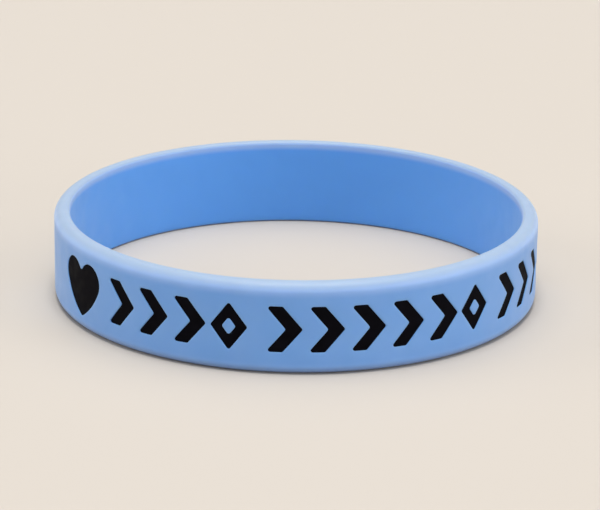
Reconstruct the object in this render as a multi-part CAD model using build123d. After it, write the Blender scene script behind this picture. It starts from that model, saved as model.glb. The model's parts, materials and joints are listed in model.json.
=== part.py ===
"""Moulded silicone wristband with a row of sunk motifs that are filled with black ink.

The band rests on its lower edge. The origin is on the surface it rests on, under the
middle of the ring. +Z is the ring's axis, and the front of the band faces -Y. Lengths
are in millimetres. Angles are in degrees, from the front towards +X.
"""

import math
import os

from build123d import *

os.makedirs("parts", exist_ok=True)

# The moulded band
INNER_CIRCUMFERENCE = 202.0  # round the inside, where the wrist goes
BAND_WIDTH = 12.7  # half an inch, from the lower edge to the upper one
WALL = 2.2
OUTER_EDGE_RADIUS = 1.3
INNER_EDGE_RADIUS = 0.5

# The pockets sunk in its outer face, and the ink that fills them
POCKET_DEPTH = 0.45
INK_RECESS = 0.12  # from the band's outer face down to the ink's
INK_CLEARANCE = 0.03  # round the ink and behind it
CORNER_RADIUS = 0.3  # at the motifs' corners
HEART_TOP_MARGIN = 2.7  # plain wall above a heart
HEART_FOOT_MARGIN = 2.0  # plain wall below it
MOTIF_MARGIN = 3.15  # plain wall above a chevron or a diamond, and as much below it

# Shape of a heart, as shares of its height
HEART_BREADTH_SHARE = 1.17
LOBE_RADIUS_SHARE = 0.303
SIDE_RADIUS_SHARE = 1.3

# Shape of a chevron and of a diamond, as shares of the height they have in common
CHEVRON_REACH_SHARE = 0.42  # how far its point stands ahead of its arms' ends
CHEVRON_STROKE_SHARE = 0.27
DIAMOND_BREADTH_SHARE = 0.8
DIAMOND_RISE_SHARE = 1.06  # over 1, for its rounded tips
DIAMOND_STROKE_SHARE = 0.2

# How the motifs follow each other round the band
FIRST_HEART_ANGLE = -58.7
HEART_COUNT = 3
BARE_LENGTH = 14.5  # plain wall between the last heart and the first
GROUP_GAP = 1.8  # extra room at both ends of a group of motifs
LEAST_GAP = 0.5  # between two motifs of a group
OUTER_GROUP_SHARE = 2 / 7  # of the motifs between two hearts, in each outer group of three

INNER_RADIUS = INNER_CIRCUMFERENCE / (2 * math.pi)
OUTER_RADIUS = INNER_RADIUS + WALL
FLOOR_RADIUS = OUTER_RADIUS - POCKET_DEPTH
INK_FACE_RADIUS = OUTER_RADIUS - INK_RECESS
HEART_HEIGHT = BAND_WIDTH - HEART_TOP_MARGIN - HEART_FOOT_MARGIN
HEART_WIDTH = HEART_BREADTH_SHARE * HEART_HEIGHT
MOTIF_HEIGHT = BAND_WIDTH - 2 * MOTIF_MARGIN


def moulded_ring():
    """The band before its pockets: a rounded strip turned round the axis."""
    middle = (INNER_RADIUS + WALL / 2, 0, BAND_WIDTH / 2)
    section_plane = Plane(origin=middle, x_dir=(1, 0, 0), z_dir=(0, -1, 0))
    section = section_plane * Rectangle(WALL, BAND_WIDTH)
    section = fillet(section.vertices().group_by(Axis.X)[-1], OUTER_EDGE_RADIUS)
    section = fillet(section.vertices().group_by(Axis.X)[0], INNER_EDGE_RADIUS)
    return revolve(section, Axis.Z)


def rounded_polygon(points):
    outline = make_face(Polyline(*points, close=True))
    return fillet(outline.vertices(), CORNER_RADIUS)


def heart_outline():
    """Two round lobes, with bulging sides from them down to a tip. Y is from mid-height."""
    tip_y = HEART_FOOT_MARGIN - BAND_WIDTH / 2
    lobe_radius = LOBE_RADIUS_SHARE * HEART_HEIGHT
    side_radius = SIDE_RADIUS_SHARE * HEART_HEIGHT
    lobe_x = HEART_WIDTH / 2 - lobe_radius
    lobe_y = tip_y + HEART_HEIGHT - lobe_radius

    # The right side goes through the tip and touches its lobe from round about it. Its
    # middle and the lobe's middle make a triangle with the tip, whose sides are known.
    tip_to_lobe = math.hypot(lobe_x, lobe_y - tip_y)
    between = side_radius - lobe_radius
    spread = math.acos((side_radius**2 + tip_to_lobe**2 - between**2) / (2 * side_radius * tip_to_lobe))
    from_tip = math.atan2(lobe_y - tip_y, lobe_x) + spread
    side_x = side_radius * math.cos(from_tip)
    side_y = tip_y + side_radius * math.sin(from_tip)
    touch_turn = math.atan2(lobe_y - side_y, lobe_x - side_x)
    tip_turn = math.atan2(tip_y - side_y, -side_x)
    cleft_turn = math.pi - math.acos(lobe_x / lobe_radius)

    def on_lobe(turn):
        return (lobe_x + lobe_radius * math.cos(turn), lobe_y + lobe_radius * math.sin(turn))

    def on_side(turn):
        return (side_x + side_radius * math.cos(turn), side_y + side_radius * math.sin(turn))

    tip, touch, cleft = on_side(tip_turn), on_side(touch_turn), on_lobe(cleft_turn)
    side = ThreePointArc(tip, on_side((tip_turn + touch_turn) / 2), touch)
    lobe = ThreePointArc(touch, on_lobe((touch_turn + cleft_turn) / 2), cleft)
    right_half = make_face([side, lobe, Line(cleft, tip)])
    outline = right_half + mirror(right_half, Plane.YZ)
    on_middle = [corner for corner in outline.vertices() if abs(corner.X) < CORNER_RADIUS / 10]
    return fillet(on_middle, CORNER_RADIUS)


def chevron_outline():
    """A bar bent at mid-height, whose point faces +X."""
    half = MOTIF_HEIGHT / 2
    reach = CHEVRON_REACH_SHARE * MOTIF_HEIGHT
    bar = CHEVRON_STROKE_SHARE * MOTIF_HEIGHT * math.hypot(reach, half) / half
    back = -(reach + bar) / 2
    upper_arm = [(back, half), (back + bar, half), (back + bar + reach, 0)]
    lower_arm = [(back + bar, -half), (back, -half), (back + reach, 0)]
    return rounded_polygon(upper_arm + lower_arm)


def diamond_outline():
    """A diamond-shaped frame round a diamond of plain wall."""
    half_x = DIAMOND_BREADTH_SHARE * MOTIF_HEIGHT / 2
    half_y = DIAMOND_RISE_SHARE * MOTIF_HEIGHT / 2
    frame = DIAMOND_STROKE_SHARE * MOTIF_HEIGHT * math.hypot(half_x, half_y) / (half_x * half_y)
    outer = [(half_x, 0), (0, half_y), (-half_x, 0), (0, -half_y)]
    inner = [((1 - frame) * x, (1 - frame) * y) for x, y in outer]
    return rounded_polygon(outer) - rounded_polygon(inner)


def curved_slab(outline, near_radius, far_radius):
    """What an outline on the front of the band covers between two radii."""
    front = Plane(origin=(0, 0, BAND_WIDTH / 2), x_dir=(1, 0, 0), z_dir=(0, -1, 0))
    prism = extrude(front * outline, 2 * far_radius)
    standing = (Align.CENTER, Align.CENTER, Align.MIN)
    tube = Cylinder(far_radius, BAND_WIDTH, align=standing)
    tube -= Cylinder(near_radius, BAND_WIDTH, align=standing)
    return prism & tube


def motif_places():
    """Kind, angle and turn in its own plane of each motif.

    Groups of motifs fill the way from heart to heart. Each group is chevrons and one
    diamond. Every second way runs backwards, so that it mirrors the one before it.
    """
    circumference = 2 * math.pi * OUTER_RADIUS
    ways = HEART_COUNT - 1
    way = (circumference - BARE_LENGTH - HEART_COUNT * HEART_WIDTH) / ways
    room = way - 4 * GROUP_GAP
    count = math.floor(room / (DIAMOND_BREADTH_SHARE * MOTIF_HEIGHT + LEAST_GAP))
    pitch = room / count
    outer_group = round(OUTER_GROUP_SHARE * count)
    groups = [outer_group, count - 2 * outer_group, outer_group]

    along = []
    reached = HEART_WIDTH / 2 + GROUP_GAP
    for group in groups:
        for place in range(group):
            kind = "diamond" if place == group - 1 else "chevron"
            along.append((kind, reached + pitch / 2 + place * pitch))
        reached += group * pitch + GROUP_GAP

    degrees_per_mm = 360 / circumference
    places = []
    for heart in range(HEART_COUNT):
        start = FIRST_HEART_ANGLE + heart * (way + HEART_WIDTH) * degrees_per_mm
        places.append(("heart", start, 0))
        if heart == ways:
            break
        for kind, distance in along:
            backwards = heart % 2 == 1
            from_start = way + HEART_WIDTH - distance if backwards else distance
            places.append((kind, start + from_start * degrees_per_mm, 180 if backwards else 0))
    return places


def main():
    outlines = {
        "heart": heart_outline(),
        "chevron": chevron_outline(),
        "diamond": diamond_outline(),
    }
    pockets = []
    inks = {}
    counts = dict.fromkeys(outlines, 0)
    for kind, angle, turn in motif_places():
        outline = Rot(0, 0, turn) * outlines[kind]
        pocket = curved_slab(outline, FLOOR_RADIUS, OUTER_RADIUS + POCKET_DEPTH)
        pockets.append(Rot(0, 0, angle) * pocket)
        inside = offset(outline, -INK_CLEARANCE)
        ink = curved_slab(inside, FLOOR_RADIUS + INK_CLEARANCE, INK_FACE_RADIUS)
        counts[kind] += 1
        inks[f"ink_{kind}_{counts[kind]:02d}"] = Rot(0, 0, angle) * ink

    export_step(moulded_ring() - pockets, "parts/band.step")
    for name, ink in inks.items():
        export_step(ink, f"parts/{name}.step")


main()
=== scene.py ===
import json
import math
from collections import namedtuple

import bmesh
import bpy
import numpy as np
from mathutils import Matrix, Vector


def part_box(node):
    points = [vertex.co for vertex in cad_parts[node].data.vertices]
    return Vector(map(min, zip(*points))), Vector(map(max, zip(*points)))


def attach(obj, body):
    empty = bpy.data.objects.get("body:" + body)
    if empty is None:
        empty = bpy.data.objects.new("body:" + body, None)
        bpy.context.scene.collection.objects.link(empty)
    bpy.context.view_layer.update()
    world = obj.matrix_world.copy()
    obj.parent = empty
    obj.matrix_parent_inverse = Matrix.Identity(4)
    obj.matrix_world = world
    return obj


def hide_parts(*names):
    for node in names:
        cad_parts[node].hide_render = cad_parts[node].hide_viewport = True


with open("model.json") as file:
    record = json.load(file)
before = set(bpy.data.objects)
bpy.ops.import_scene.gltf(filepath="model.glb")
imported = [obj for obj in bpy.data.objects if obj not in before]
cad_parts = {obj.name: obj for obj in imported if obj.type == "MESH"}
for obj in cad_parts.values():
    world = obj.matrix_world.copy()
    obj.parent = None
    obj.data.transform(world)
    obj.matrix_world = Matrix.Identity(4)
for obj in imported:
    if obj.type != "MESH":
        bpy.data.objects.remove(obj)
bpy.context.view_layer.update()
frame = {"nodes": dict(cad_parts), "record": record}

MM = 0.001

# The band, read from the frame
band_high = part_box("band")[1]
OUTER_RADIUS = band_high.x
BAND_WIDTH = band_high.z
MID_HEIGHT = BAND_WIDTH / 2
wrist = next(mount for mount in frame["record"]["mounts"] if mount["name"] == "wrist")
INNER_RADIUS = wrist["dims"]["r_mm"] * MM
OUTER_EDGE_RADIUS = 1.3 * MM
INNER_EDGE_RADIUS = 0.5 * MM
WALL_HALF = MID_HEIGHT - OUTER_EDGE_RADIUS  # half the height of the outer face's straight part

# The pockets in its outer face, and the ink in them
POCKET_DEPTH = 0.45 * MM
LIP_RADIUS = 0.1 * MM  # of the rounding round a pocket's mouth
LIP_SINK = 0.02 * MM  # how far the face sinks towards that rounding
SINK_REACH = 0.06 * MM  # beside the rounding, where the face sinks
SINK_START_SHARE = 0.4  # of the sink, reached at the outer end of that reach
CORNER_RADIUS = 0.3 * MM
INK_CLEARANCE = 0.012 * MM  # round the ink
INK_BACK_DEPTH = 0.42 * MM
INK_EDGE_DEPTH = 0.12 * MM
INK_MIDDLE_DEPTH = 0.17 * MM

# How the ink's face falls from its edge: shares of the way across and of the fall
INK_FALL = ((0.08, 0.4), (0.2, 0.75), (0.45, 0.95), (0.7, 1))
FRAME_INK_FALL = ((0.1, 0.5), (0.25, 0.9), (0.5, 1), (0.75, 0.9), (0.9, 0.5), (1, 0))

# The motifs
HEART_HEIGHT = 8 * MM
HEART_DROP = 0.35 * MM  # from the band's mid-height down to the heart's
MOTIF_HEIGHT = 6.4 * MM  # of a chevron or a diamond
HEART_ROOM = 0.9 * MM  # beside a heart, in its cell of the lattice

# Their shapes, as shares of their heights
HEART_BREADTH_SHARE = 1.17
LOBE_RADIUS_SHARE = 0.303
SIDE_RADIUS_SHARE = 1.3
CHEVRON_REACH_SHARE = 0.42
CHEVRON_STROKE_SHARE = 0.27
DIAMOND_BREADTH_SHARE = 0.8
DIAMOND_RISE_SHARE = 1.06
DIAMOND_STROKE_SHARE = 0.2

# How the shapes are divided for the mesh
SHOULDER_TURN = 0.9  # radians up a heart's lobe, where its top begins
HEART_SPINE_SHARES = (0.13, -0.2)  # of its height, from its middle
CHEVRON_SIDE_SHARE = 0.25  # of an arm's way to the point, where the right side begins
CHEVRON_SPINE_SHARE = 0.75  # of an arm's length, from the point
DIAMOND_SPINE_SHARE = 1 / 3
WINDOW_ROW_SHARE = 0.4  # of the way from the window's edge to its spine

# The lattice of the band's mesh
COLUMNS = 608  # round the ring, of which 16 go to a chevron or a diamond
WALL_ROWS = 26  # up the straight part of the outer face
INSIDE_ROWS = 14  # up the straight part of the inner face
FLAT_ROWS = 2  # across the flat part of each edge
OUTER_EDGE_STEPS = 12
INNER_EDGE_STEPS = 7
CELL_ROWS = 4  # between a cell's edge and its pocket
LIP_STEPS = 3
ARC_POINTS = 40
OUTLINE_STEP = 0.02 * MM
TURN_WEIGHT = 1.2 * MM  # length that a radian of turn counts for, where points are shared out
MERGE_DISTANCE = 0.003 * MM
EVENING_ROUNDS = 6


# Outlines of the motifs, in the plane that touches the band at the motif's middle

# The outline runs counter-clockwise. The marks are where its left side, its bottom, its
# right side and its top begin. The pocket's floor closes on the spine.
Shape = namedtuple("Shape", "outline marks spine")


def arc(middle, radius, start, end):
    turns = np.linspace(start, end, ARC_POINTS)
    return np.array(middle) + radius * np.stack([np.cos(turns), np.sin(turns)], 1)


def rounded(before, corner, after):
    """The arc that rounds off the corner on the way from one point to another."""
    before, corner, after = np.array(before), np.array(corner), np.array(after)
    arriving = (corner - before) / np.linalg.norm(corner - before)
    leaving = (after - corner) / np.linalg.norm(after - corner)
    turn = math.atan2(arriving[0] * leaving[1] - arriving[1] * leaving[0], arriving @ leaving)
    start = corner - CORNER_RADIUS * math.tan(abs(turn) / 2) * arriving
    to_middle = math.copysign(1, turn) * np.array([-arriving[1], arriving[0]])
    first = math.atan2(-to_middle[1], -to_middle[0])
    return arc(start + CORNER_RADIUS * to_middle, CORNER_RADIUS, first, first + turn)


def rounded_polygon(corners):
    following = corners[1:] + corners[:1]
    arcs = [rounded(corners[k - 1], corner, following[k]) for k, corner in enumerate(corners)]
    return np.concatenate(arcs)


def heart_shape():
    """Two round lobes, with bulging sides from them down to a rounded tip."""
    lobe_radius = LOBE_RADIUS_SHARE * HEART_HEIGHT
    side_radius = SIDE_RADIUS_SHARE * HEART_HEIGHT
    tip_y = -HEART_HEIGHT / 2
    lobe_x = HEART_BREADTH_SHARE * HEART_HEIGHT / 2 - lobe_radius
    lobe_y = HEART_HEIGHT / 2 - lobe_radius

    # The right side goes through the tip and touches its lobe from round about it.
    tip_to_lobe = math.hypot(lobe_x, lobe_y - tip_y)
    between = side_radius - lobe_radius
    spread = math.acos((side_radius**2 + tip_to_lobe**2 - between**2) / (2 * side_radius * tip_to_lobe))
    from_tip = math.atan2(lobe_y - tip_y, lobe_x) + spread
    side_x = side_radius * math.cos(from_tip)
    side_y = tip_y + side_radius * math.sin(from_tip)
    touch_turn = math.atan2(lobe_y - side_y, lobe_x - side_x)

    # Small circles that touch both sides and both lobes round off the tip and the cleft.
    tip_middle = side_y - math.sqrt((side_radius - CORNER_RADIUS) ** 2 - side_x**2)
    tip_turn = math.atan2(tip_middle - side_y, -side_x)
    above_lobe = math.sqrt((lobe_radius + CORNER_RADIUS) ** 2 - lobe_x**2)
    meet_turn = math.atan2(above_lobe, -lobe_x)
    tip = arc([0, tip_middle], CORNER_RADIUS, -math.pi - tip_turn, tip_turn)
    side = arc([side_x, side_y], side_radius, tip_turn, touch_turn)
    lobe = arc([lobe_x, lobe_y], lobe_radius, touch_turn, meet_turn)
    cleft = arc([0, lobe_y + above_lobe], CORNER_RADIUS, meet_turn - math.pi, -meet_turn)
    right = np.concatenate([side, lobe])
    left = right[::-1] * [-1, 1]

    shoulder_x = lobe_x + lobe_radius * math.cos(SHOULDER_TURN)
    shoulder_y = lobe_y + lobe_radius * math.sin(SHOULDER_TURN)
    low_x, low_y = side[ARC_POINTS // 3]  # a third of the way up the side
    marks = np.array([[-shoulder_x, shoulder_y], [-low_x, low_y], [low_x, low_y], [shoulder_x, shoulder_y]])
    spine = np.array([[0, share * HEART_HEIGHT] for share in HEART_SPINE_SHARES])
    drop = [0, HEART_DROP]
    return Shape(np.concatenate([tip, right, cleft, left]) - drop, marks - drop, spine - drop)


def chevron_shape():
    """A bar bent at mid-height, whose point faces right."""
    half = MOTIF_HEIGHT / 2
    reach = CHEVRON_REACH_SHARE * MOTIF_HEIGHT
    bar = CHEVRON_STROKE_SHARE * MOTIF_HEIGHT * math.hypot(reach, half) / half
    back = -(reach + bar) / 2
    left_corners = [[back, half], [back + reach, 0], [back, -half]]
    right_corners = [[back + bar, -half], [-back, 0], [back + bar, half]]
    outline = rounded_polygon(left_corners + right_corners)

    # The whole turn at an arm's end counts to the left side, and part of the way to the
    # point to the top and the bottom, so that no line of the mesh crosses another.
    left_x = back + CORNER_RADIUS / math.tan(math.atan2(half, reach) / 2)
    right_x = back + bar + CHEVRON_SIDE_SHARE * reach
    right_y = (1 - CHEVRON_SIDE_SHARE) * half
    marks = [[left_x, half], [left_x, -half], [right_x, -right_y], [right_x, right_y]]
    end_x = back + bar / 2 + reach * (1 - CHEVRON_SPINE_SHARE)
    end_y = CHEVRON_SPINE_SHARE * half
    spine = [[end_x, end_y], [back + bar / 2 + reach, 0], [end_x, -end_y]]
    return Shape(outline, np.array(marks), np.array(spine))


def diamond_shape(share=1):
    """The outer outline of the frame, or at a smaller share the plain diamond inside it."""
    right = np.array([DIAMOND_BREADTH_SHARE * MOTIF_HEIGHT / 2, 0]) * share
    top = np.array([0, DIAMOND_RISE_SHARE * MOTIF_HEIGHT / 2]) * share
    marks = np.array([top - right, -top - right, right - top, top + right]) / 2
    spine = np.array([top, -top]) * DIAMOND_SPINE_SHARE
    return Shape(rounded_polygon([top, -right, -top, right]), marks, spine)


def window_share():
    """How large the plain diamond is beside the frame round it."""
    half_x = DIAMOND_BREADTH_SHARE * MOTIF_HEIGHT / 2
    half_y = DIAMOND_RISE_SHARE * MOTIF_HEIGHT / 2
    return 1 - DIAMOND_STROKE_SHARE * MOTIF_HEIGHT * math.hypot(half_x, half_y) / (half_x * half_y)


SHAPES = {"heart": heart_shape(), "chevron": chevron_shape(), "diamond": diamond_shape()}
WINDOW = diamond_shape(window_share())


def evenly_spaced(outline):
    """Points at even steps round a closed outline."""
    closed = np.concatenate([outline, outline[:1]])
    lengths = np.linalg.norm(np.diff(closed, axis=0), axis=1)
    reached = np.concatenate([[0], np.cumsum(lengths)])
    along = np.arange(0, reached[-1], OUTLINE_STEP)
    return np.stack([np.interp(along, reached, closed[:, axis]) for axis in (0, 1)], 1)


def turned_round(sides):
    """The four sides of a shape that is turned by half a turn, from its new left side on."""
    return [-side for side in sides[2:] + sides[:2]]


def shared_out(shape, counts, turned):
    """Points of an outline and their outward directions.

    They run down the left side, along the bottom, up the right side and back along the
    top, with as many points in each of these as counts says, closer where it turns.
    """
    path = evenly_spaced(shape.outline)
    ahead = np.roll(path, -1, 0) - np.roll(path, 1, 0)
    heading = np.unwrap(np.arctan2(ahead[:, 1], ahead[:, 0]))
    outward = np.stack([np.sin(heading), -np.cos(heading)], 1)
    turning = np.abs(np.diff(heading, append=heading[0] + math.tau))
    effort = OUTLINE_STEP + TURN_WEIGHT * turning
    starts = [int(np.argmin(np.linalg.norm(path - mark, axis=1))) for mark in shape.marks]
    sides = []
    for start, end, count in zip(starts, starts[1:] + starts[:1], counts):
        steps_on = (end - start) % len(path)
        picked = np.arange(start, start + steps_on + 1) % len(path)
        reached = np.concatenate([[0], np.cumsum(effort[picked[:-1]])])
        wanted = np.arange(count) * reached[-1] / count
        where = np.interp(wanted, reached, np.arange(len(picked)))
        both = np.concatenate([path[picked], outward[picked]], 1)
        sides.append(np.stack([np.interp(where, np.arange(len(picked)), column) for column in both.T], 1))
    if turned:
        sides = turned_round(sides)
    points = np.concatenate(sides)
    return points[:, :2], points[:, 2:]


def spine_points(shape, counts, turned):
    """For each point of the outline, the point of the shape's spine that faces it."""
    knots = np.arange(len(shape.spine))
    along = np.linspace(0, knots[-1], counts[0] + 1)
    down = np.stack([np.interp(along, knots, column) for column in shape.spine.T], 1)
    top, bottom = np.repeat(down[:1], counts[3], 0), np.repeat(down[-1:], counts[1], 0)
    sides = [down[:-1], bottom, down[:0:-1], top]
    if turned:
        sides = turned_round(sides)
    return np.concatenate(sides)


# Where the motifs are

def within_half_turn(angle):
    return (angle + math.pi) % math.tau - math.pi


def middle_angle(name):
    """The angle of a CAD node's middle, from the front towards +X."""
    points = np.array([vert.co for vert in frame["nodes"][name].data.vertices])
    low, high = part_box(name)
    near = math.atan2(low.x + high.x, -(low.y + high.y))
    beside = within_half_turn(np.arctan2(points[:, 0], -points[:, 1]) - near)
    return near + (beside.min() + beside.max()) / 2


COLUMN_ANGLE = math.tau / COLUMNS
LATTICE_START = middle_angle("ink_heart_02")
ROW_END = (middle_angle("ink_heart_03") - LATTICE_START) % math.tau
PITCH_ANGLE = middle_angle("ink_chevron_02") - middle_angle("ink_chevron_01")
HALF_HEART_ANGLE = (HEART_BREADTH_SHARE * HEART_HEIGHT / 2 + HEART_ROOM) / OUTER_RADIUS

# A chevron's arms end short of its cell's middle line by less than its point does.
chevron_xs = SHAPES["chevron"].outline[:, 0]
CHEVRON_LEAN = (chevron_xs.min() + chevron_xs.max()) / 2 / OUTER_RADIUS


def placed_motif(name):
    """A filling's kind and angle, the columns of its cell, and whether it is turned round."""
    kind = name.split("_")[1]
    angle = middle_angle(name)
    past_start = (angle - LATTICE_START) % math.tau
    # The second half of the row mirrors the first, so its motifs are turned round.
    turned = kind != "heart" and past_start < ROW_END
    if kind == "chevron":
        lean = -CHEVRON_LEAN if turned else CHEVRON_LEAN
        angle -= lean
        past_start -= lean
    half = HALF_HEART_ANGLE if kind == "heart" else PITCH_ANGLE / 2
    first = round((past_start - half) / COLUMN_ANGLE)
    last = round((past_start + half) / COLUMN_ANGLE)
    return {"name": name, "kind": kind, "angle": angle, "columns": (first, last), "turned": turned}


motifs = [placed_motif(name) for name in sorted(frame["nodes"]) if name != "band"]


# Meshes

def wrapped(points, depth, angle):
    """Points of the touching plane, laid on the band's face or below it."""
    radius = OUTER_RADIUS - depth
    azimuth = angle + np.arcsin(points[:, 0] / radius)
    across, ahead = radius * np.sin(azimuth), -radius * np.cos(azimuth)
    return np.stack([across, ahead, MID_HEIGHT + points[:, 1]], 1)


def lay_grid(bm, motif, rows):
    """A grid whose lines follow closed rows of points, each at its depth in the motif's cell."""
    places = np.array([wrapped(points, depth, motif["angle"]) for points, depth in rows])
    across, up = places.shape[1], places.shape[0] - 1
    made = bmesh.ops.create_grid(bm, x_segments=across, y_segments=up, size=0.5)
    for vert in made["verts"]:
        column = round((vert.co.x + 0.5) * across) % across
        vert.co = places[round((vert.co.y + 0.5) * up), column]


def finished(bm, name, material):
    bmesh.ops.remove_doubles(bm, verts=bm.verts, dist=MERGE_DISTANCE)
    bmesh.ops.recalc_face_normals(bm, faces=bm.faces)
    for face in bm.faces:
        face.smooth = True
    mesh = bpy.data.meshes.new(name)
    bm.to_mesh(mesh)
    bm.free()
    mesh.materials.append(material)
    piece = bpy.data.objects.new(name, mesh)
    bpy.context.scene.collection.objects.link(piece)
    return piece


def cell_edge(motif):
    """Lattice points round the motif's cell, in the touching plane, from its top left."""
    first, last = motif["columns"]
    azimuths = LATTICE_START + np.arange(first, last + 1) * COLUMN_ANGLE
    across = OUTER_RADIUS * np.sin(within_half_turn(azimuths - motif["angle"]))
    up = np.linspace(-WALL_HALF, WALL_HALF, WALL_ROWS + 1)
    left = [(across[0], z) for z in up[:0:-1]]
    bottom = [(x, -WALL_HALF) for x in across[:-1]]
    right = [(across[-1], z) for z in up[:-1]]
    top = [(x, WALL_HALF) for x in across[:0:-1]]
    return np.array(left + bottom + right + top)


def outlines(motif):
    """The pocket's outline and its way out, those of the window in it or None, and the spine."""
    first, last = motif["columns"]
    counts = (WALL_ROWS, last - first, WALL_ROWS, last - first)
    shape = SHAPES[motif["kind"]]
    outline, outward = shared_out(shape, counts, motif["turned"])
    if motif["kind"] != "diamond":
        return outline, outward, None, spine_points(shape, counts, motif["turned"])
    window = shared_out(WINDOW, counts, motif["turned"])
    return outline, outward, window, spine_points(WINDOW, counts, motif["turned"])


def lip_curve():
    """Offset from the pocket's wall and depth, from the face down to the wall."""
    for turn in np.linspace(0, math.pi / 2, LIP_STEPS + 1):
        offset = LIP_RADIUS * (1 - math.sin(turn))
        yield offset, LIP_SINK + LIP_RADIUS * (1 - math.cos(turn))


def evened(start, end):
    """Rows between two closed rows, at even distances from each other and along."""
    sheet = np.linspace(start, end, CELL_ROWS + 2)
    for _ in range(EVENING_ROUNDS):
        beside = np.roll(sheet, 1, 1) + np.roll(sheet, -1, 1)
        sheet[1:-1] = (sheet[:-2] + sheet[2:] + beside[1:-1]) / 4
    return list(sheet[1:-1])


def sunk_cell(bm, motif):
    """The band's face in a motif's cell, with its pocket."""
    outline, outward, window, spine = outlines(motif)
    edge = cell_edge(motif)
    lip = outline + (LIP_RADIUS + SINK_REACH) * outward
    rows = [(edge, 0)] + [(points, 0) for points in evened(edge, lip)]
    rows.append((lip, SINK_START_SHARE * LIP_SINK))
    rows += [(outline + offset * outward, depth) for offset, depth in lip_curve()]
    rows.append((outline, POCKET_DEPTH))
    if window:
        inner, away = window
        rows.append((inner, POCKET_DEPTH))
        rows += [(inner - offset * away, depth) for offset, depth in reversed(list(lip_curve()))]
        lip = inner - (LIP_RADIUS + SINK_REACH) * away
        rows.append((lip, SINK_START_SHARE * LIP_SINK))
        rows += [(lip + WINDOW_ROW_SHARE * (spine - lip), 0), (spine, 0)]
    else:
        rows.append((spine, POCKET_DEPTH))
    lay_grid(bm, motif, rows)


def ring(bm):
    """The whole band before its pockets, spun from its section."""
    facing = Vector((math.sin(LATTICE_START), -math.cos(LATTICE_START), 0))
    places = [(OUTER_RADIUS, 0), (OUTER_RADIUS, BAND_WIDTH), (INNER_RADIUS, BAND_WIDTH), (INNER_RADIUS, 0)]
    corners = [bm.verts.new(facing * radius + Vector((0, 0, z))) for radius, z in places]
    for start, end in zip(corners, corners[1:] + corners[:1]):
        bm.edges.new((start, end))
    outer = (corners[:2], OUTER_EDGE_RADIUS, OUTER_EDGE_STEPS)
    inner = (corners[2:], INNER_EDGE_RADIUS, INNER_EDGE_STEPS)
    for ends, radius, steps in (outer, inner):
        bmesh.ops.bevel(
            bm, geom=ends, offset=radius, offset_type="OFFSET", segments=steps, profile=0.5,
            affect="VERTICES", material=-1,
        )
    straight = sorted(bm.edges, key=lambda edge: edge.calc_length())[-4:]
    for edge in straight:
        start, end = (vert.co for vert in edge.verts)
        rows = FLAT_ROWS
        if abs(start.z - end.z) > MERGE_DISTANCE:
            on_outer_face = start.to_2d().length > (OUTER_RADIUS + INNER_RADIUS) / 2
            rows = WALL_ROWS if on_outer_face else INSIDE_ROWS
        bmesh.ops.subdivide_edges(bm, edges=[edge], cuts=rows - 1)
    bmesh.ops.spin(
        bm, geom=bm.verts[:] + bm.edges[:], cent=(0, 0, 0), axis=(0, 0, 1), dvec=(0, 0, 0),
        angle=math.tau, steps=COLUMNS, use_merge=True, use_duplicate=False,
    )


def silicone_band(material):
    bm = bmesh.new()
    ring(bm)
    sunk = {column % COLUMNS for motif in motifs for column in range(*motif["columns"])}
    opened = []
    for face in bm.faces:
        middle = face.calc_center_median()
        on_wall = abs(middle.z - MID_HEIGHT) < WALL_HALF
        azimuth = math.atan2(middle.x, -middle.y) - LATTICE_START
        column = math.floor(azimuth / COLUMN_ANGLE) % COLUMNS
        if on_wall and middle.to_2d().length > OUTER_RADIUS - POCKET_DEPTH and column in sunk:
            opened.append(face)
    bmesh.ops.delete(bm, geom=opened, context="FACES")
    for motif in motifs:
        sunk_cell(bm, motif)
    return finished(bm, "silicone_band", material)


def ink_filling(motif, material):
    """The ink in one pocket, whose face is dished between its edges."""
    outline, outward, window, spine = outlines(motif)
    outer = outline - INK_CLEARANCE * outward
    inner = window[0] + INK_CLEARANCE * window[1] if window else spine
    fall = INK_MIDDLE_DEPTH - INK_EDGE_DEPTH
    rows = [(outer, INK_BACK_DEPTH), (outer, INK_EDGE_DEPTH)]
    for way, share in FRAME_INK_FALL if window else INK_FALL:
        rows.append((outer + way * (inner - outer), INK_EDGE_DEPTH + share * fall))
    if window:
        rows += [(inner, INK_BACK_DEPTH), (outer, INK_BACK_DEPTH)]
    else:
        rows = [(inner, INK_BACK_DEPTH)] + rows + [(inner, INK_MIDDLE_DEPTH)]
    bm = bmesh.new()
    lay_grid(bm, motif, rows)
    return finished(bm, motif["name"].replace("ink_", "") + "_filling", material)


# Materials

# The deeper blue inside is painted light bounced round inside the ring; the paler blue outside is a painted
# sheen.
SILICONE_INSIDE = (0.102, 0.366, 0.888)
SILICONE_OUTSIDE = (0.148, 0.36, 0.783)
# A paler blue, for the dust patches and for the painted highlights on the edges.
SILICONE_DUST_AND_HIGHLIGHT = (0.315, 0.51, 0.9)
# Painted highlight: the paler, greyer blue of the flat top of the rim.
SILICONE_RIM_HIGHLIGHT = (0.303, 0.412, 0.575)
# Painted shade: the dark blue at the foot of the outer face, where it meets the floor.
SILICONE_PAINTED_SHADE = (0.13, 0.22, 0.47)
INK_DEEP = (0.002, 0.0018, 0.003)
INK_DUSTY = (0.004, 0.0036, 0.006)
FLOOR_COLOUR = (0.557, 0.506, 0.449)

# Where the silicone's colours change: the distances where a change begins and is full
OUTSIDE = (0.03 * MM, 0.2 * MM)  # out from the inner face
# Painted highlights on the shoulders below the upper edge, outside and inside.
SHOULDER_OUTSIDE = (2.2 * MM, 0.7 * MM)  # below the upper edge
SHOULDER_INSIDE = (1.45 * MM, 0.55 * MM)  # below the upper edge
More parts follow.
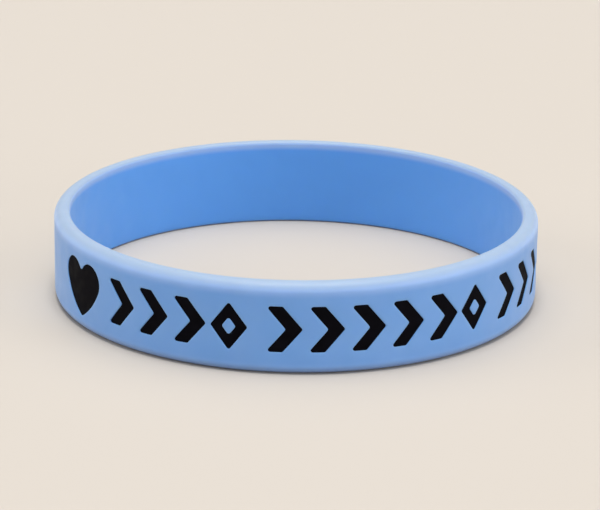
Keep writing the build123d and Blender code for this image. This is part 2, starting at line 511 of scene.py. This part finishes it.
# Where the painted highlight on the top of the rim lies.
RIM_HEIGHT = (1.2 * MM, 0.1 * MM)  # below the upper edge
RIM_BREADTH = (-0.1 * MM, 0.2 * MM)  # out from the inner face
# A slightly paler band above the lower edge.
FOOT_PALER = (1.8 * MM, 0.7 * MM)  # above the lower edge
# Where the painted shade at the foot lies.
FOOT_SHADE = (1.4 * MM, 0.3 * MM)  # above the lower edge

# How strong some of them are
DUST_SHARE = 0.14
FOOT_PALER_SHARE = 0.28
FOOT_SHADE_SHARE = 0.6

# The noise in the finishes: the range where most of it lies, and the lengths of its features
NOISE_LOW, NOISE_HIGH = 0.3, 0.7
SILICONE_DUST = 6 * MM
SILICONE_WEAR = 2.5 * MM
SILICONE_WAVE = 4 * MM
SILICONE_GRAIN = 0.18 * MM
INK_DUST = 1.5 * MM
INK_GRAIN = 0.25 * MM

# How high the bumps are, and between which values the roughness goes
SILICONE_WAVE_HEIGHT = 0.2 * MM
SILICONE_GRAIN_HEIGHT = 0.006 * MM
INK_GRAIN_HEIGHT = 0.008 * MM
SILICONE_ROUGHNESS = (0.44, 0.54)
INK_ROUGHNESS = (0.5, 0.62)


class Finish:
    """A material in the making, with the nodes that feed its shader."""

    def __init__(self, name):
        self.material = bpy.data.materials.new(name)
        self.material.use_nodes = True
        self.tree = self.material.node_tree
        self.shader = self.tree.nodes["Principled BSDF"]
        self.place = self.node("ShaderNodeTexCoord", {}).outputs["Object"]

    def feed(self, node, inputs):
        """Sets a node's inputs to numbers and colours, or links them to other nodes' outputs."""
        for key, value in inputs.items():
            socket = node.inputs[key]
            if isinstance(value, bpy.types.NodeSocket):
                self.tree.links.new(value, socket)
            elif socket.type == "RGBA":
                socket.default_value = (*value, 1)
            else:
                socket.default_value = value

    def node(self, kind, inputs, **settings):
        made = self.tree.nodes.new(kind)
        for name, value in settings.items():
            setattr(made, name, value)
        self.feed(made, inputs)
        return made

    def noise(self, size, detail):
        """Noise whose features are about as long as size."""
        inputs = {"Vector": self.place, "Scale": 1 / size, "Detail": detail}
        return self.node("ShaderNodeTexNoise", inputs).outputs["Fac"]

    def carried(self, value, start, end, low, high, **settings):
        """Carries a value from between start and end to between low and high."""
        inputs = {"Value": value, "From Min": start, "From Max": end, "To Min": low, "To Max": high}
        return self.node("ShaderNodeMapRange", inputs, **settings).outputs["Result"]

    def spread(self, noise, low, high):
        """Carries most of the noise to between low and high."""
        return self.carried(noise, NOISE_LOW, NOISE_HIGH, low, high)

    def ramp(self, value, start, end, most=1):
        """Rises smoothly from 0 at start to the most at end."""
        return self.carried(value, start, end, 0, most, interpolation_type="SMOOTHSTEP")

    def maths(self, operation, first, second):
        return self.node("ShaderNodeMath", {0: first, 1: second}, operation=operation).outputs["Value"]

    def blend(self, share, first, second):
        """Goes from the first colour to the second as the share goes from 0 to 1."""
        # The colours' sockets are picked by place, because several sockets share their names.
        inputs = {"Factor": share, 6: first, 7: second}
        return self.node("ShaderNodeMix", inputs, data_type="RGBA").outputs[2]

    def bump(self, height, distance, under=None):
        """A normal that follows a height, laid over another bump where there is one."""
        inputs = {"Height": height, "Distance": distance}
        if under is not None:
            inputs["Normal"] = under
        return self.node("ShaderNodeBump", inputs).outputs["Normal"]


def silicone_colour(finish):
    """Deeper inside the ring as painted bounced light and paler outside as a painted sheen, dusty in
    patches, with painted highlights on its upper edges and rim, a little paler above its foot, and painted
    shade at its foot.
    """
    height = finish.node("ShaderNodeSeparateXYZ", {"Vector": finish.place}).outputs["Z"]
    flat = finish.node("ShaderNodeVectorMath", {0: finish.place, 1: (1, 1, 0)}, operation="MULTIPLY")
    span = finish.node("ShaderNodeVectorMath", {0: flat.outputs["Vector"]}, operation="LENGTH")
    radius = span.outputs["Value"]

    def out_from_inside(start, end):
        return finish.ramp(radius, INNER_RADIUS + start, INNER_RADIUS + end)

    def below_top(start, end):
        return finish.ramp(height, BAND_WIDTH - start, BAND_WIDTH - end)

    # Painted bounced light inside and painted sheen outside: the colour changes with the distance from the
    # axis.
    outside = out_from_inside(*OUTSIDE)
    colour = finish.blend(outside, SILICONE_INSIDE, SILICONE_OUTSIDE)

    patches = finish.spread(finish.noise(SILICONE_DUST, 3), 0, DUST_SHARE)
    dusty = finish.maths("MULTIPLY", patches, outside)
    colour = finish.blend(dusty, colour, SILICONE_DUST_AND_HIGHLIGHT)

    # Painted highlights on the upper shoulders, and a little paler above the lower edge.
    paler_foot = finish.ramp(height, *FOOT_PALER, FOOT_PALER_SHARE)
    edges = finish.maths("MAXIMUM", below_top(*SHOULDER_OUTSIDE), paler_foot)
    outer_edges = finish.maths("MULTIPLY", edges, outside)
    pale_edges = finish.maths("MAXIMUM", outer_edges, below_top(*SHOULDER_INSIDE))
    colour = finish.blend(pale_edges, colour, SILICONE_DUST_AND_HIGHLIGHT)

    # Painted highlight on the top of the rim.
    rim = finish.maths("MULTIPLY", below_top(*RIM_HEIGHT), out_from_inside(*RIM_BREADTH))
    colour = finish.blend(rim, colour, SILICONE_RIM_HIGHLIGHT)

    # Painted shade at the foot of the outer face, where it meets the floor.
    foot = finish.ramp(height, *FOOT_SHADE, FOOT_SHADE_SHARE)
    painted_shade = finish.maths("MULTIPLY", foot, outside)
    return finish.blend(painted_shade, colour, SILICONE_PAINTED_SHADE)


def blue_silicone():
    """Soft, slightly see-through and unevenly worn, with mould waves under a fine grain."""
    finish = Finish("blue_silicone")
    waves = finish.bump(finish.noise(SILICONE_WAVE, 1), SILICONE_WAVE_HEIGHT)
    grain = finish.bump(finish.noise(SILICONE_GRAIN, 2), SILICONE_GRAIN_HEIGHT, under=waves)
    finish.feed(finish.shader, {
        "Base Color": silicone_colour(finish),
        "Roughness": finish.spread(finish.noise(SILICONE_WEAR, 4), *SILICONE_ROUGHNESS),
        "IOR": 1.41,
        "Subsurface Weight": 0.25,
        "Subsurface Radius": (0.35, 0.6, 1.0),
        "Subsurface Scale": 1.2 * MM,
        "Sheen Weight": 0.22,
        "Sheen Roughness": 0.6,
        "Normal": grain,
    })
    return finish.material


def black_ink():
    """Nearly without gloss, a little dusty in patches."""
    finish = Finish("black_ink")
    patches = finish.spread(finish.noise(INK_DUST, 3), 0, 1)
    finish.feed(finish.shader, {
        "Base Color": finish.blend(patches, INK_DEEP, INK_DUSTY),
        "Roughness": finish.spread(patches, *INK_ROUGHNESS),
        "IOR": 1.45,
        "Specular IOR Level": 0.03,
        "Normal": finish.bump(finish.noise(INK_GRAIN, 3), INK_GRAIN_HEIGHT),
    })
    return finish.material


def pale_floor():
    finish = Finish("pale_floor")
    finish.feed(finish.shader, {"Base Color": FLOOR_COLOUR, "Roughness": 0.75, "Specular IOR Level": 0.2})
    return finish.material


# The pieces

silicone = blue_silicone()
ink = black_ink()

band = silicone_band(silicone)
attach(band, "root")
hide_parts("band")

for motif in motifs:
    filling = ink_filling(motif, ink)
    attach(filling, "root")
    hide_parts(motif["name"])


# The floor and the lights

FLOOR_RADIUS = 3
FLOOR_SIDES = 96
SKY_STRENGTH = 0.227

floor_disc = bmesh.new()
bmesh.ops.create_circle(floor_disc, cap_ends=True, radius=FLOOR_RADIUS, segments=FLOOR_SIDES)
floor_mesh = bpy.data.meshes.new("floor")
floor_disc.to_mesh(floor_mesh)
floor_disc.free()
floor_mesh.materials.append(pale_floor())
floor = bpy.data.objects.new("floor", floor_mesh)
bpy.context.scene.collection.objects.link(floor)


def soft_light(name, azimuth, elevation, spread, strength):
    """A wide soft light far away. Its azimuth goes from the front towards +X, in degrees."""
    light = bpy.data.lights.new(name, "SUN")
    light.energy = strength
    light.angle = math.radians(spread)
    lamp = bpy.data.objects.new(name, light)
    around, up = math.radians(azimuth), math.radians(elevation)
    towards = Vector((math.sin(around) * math.cos(up), -math.cos(around) * math.cos(up), math.sin(up)))
    lamp.rotation_euler = (-towards).to_track_quat("-Z", "Y").to_euler()
    bpy.context.scene.collection.objects.link(lamp)


soft_light("top_light", 0, 88, 60, 1.1)
soft_light("narrow_top_light", 0, 88, 20, 1.7)
soft_light("left_light", -90, 20, 40, 0.71)
soft_light("right_light", 90, 35, 40, 0.43)
soft_light("low_right_light", 60, 8, 30, 0.76)
soft_light("front_light", 0, 25, 30, 0.36)
soft_light("back_light", 180, 60, 50, 0.45)

world = bpy.data.worlds.new("studio")
world.use_nodes = True
sky = world.node_tree.nodes["Background"]
sky.inputs["Color"].default_value = (1, 1, 1, 1)
sky.inputs["Strength"].default_value = SKY_STRENGTH
bpy.context.scene.world = world
bpy.context.scene.view_settings.view_transform = "Standard"


# The camera stands where the photograph's outlines put it: above the front, a little
# rolled, with the ring's middle a few pixels up and left of the picture's.
PICTURE_WIDTH, PICTURE_HEIGHT = 600, 510
RING_MIDDLE_PIXEL = (295.8, 247.85)
CAMERA_ELEVATION = math.radians(18.39)
CAMERA_DISTANCE = 0.412
CAMERA_ROLL = math.radians(0.82)
FOCAL_PIXELS = 2882
SENSOR_WIDTH = 36

ring_middle = Vector((0, 0, MID_HEIGHT))
ahead = Vector((0, math.cos(CAMERA_ELEVATION), -math.sin(CAMERA_ELEVATION)))
aside = (PICTURE_WIDTH / 2 - RING_MIDDLE_PIXEL[0]) / FOCAL_PIXELS
above = (PICTURE_HEIGHT / 2 - RING_MIDDLE_PIXEL[1]) / FOCAL_PIXELS
turn = ahead.to_track_quat("-Z", "Y").to_matrix() @ Matrix.Rotation(CAMERA_ROLL, 3, "Z")
turn = turn @ Matrix.Rotation(-aside, 3, "Y") @ Matrix.Rotation(-above, 3, "X")

lens = bpy.data.cameras.new("camera")
lens.sensor_width = SENSOR_WIDTH
lens.lens = FOCAL_PIXELS / PICTURE_WIDTH * SENSOR_WIDTH
camera = bpy.data.objects.new("camera", lens)
camera.matrix_world = Matrix.Translation(ring_middle - CAMERA_DISTANCE * ahead) @ turn.to_4x4()
bpy.context.scene.collection.objects.link(camera)
bpy.context.scene.camera = camera
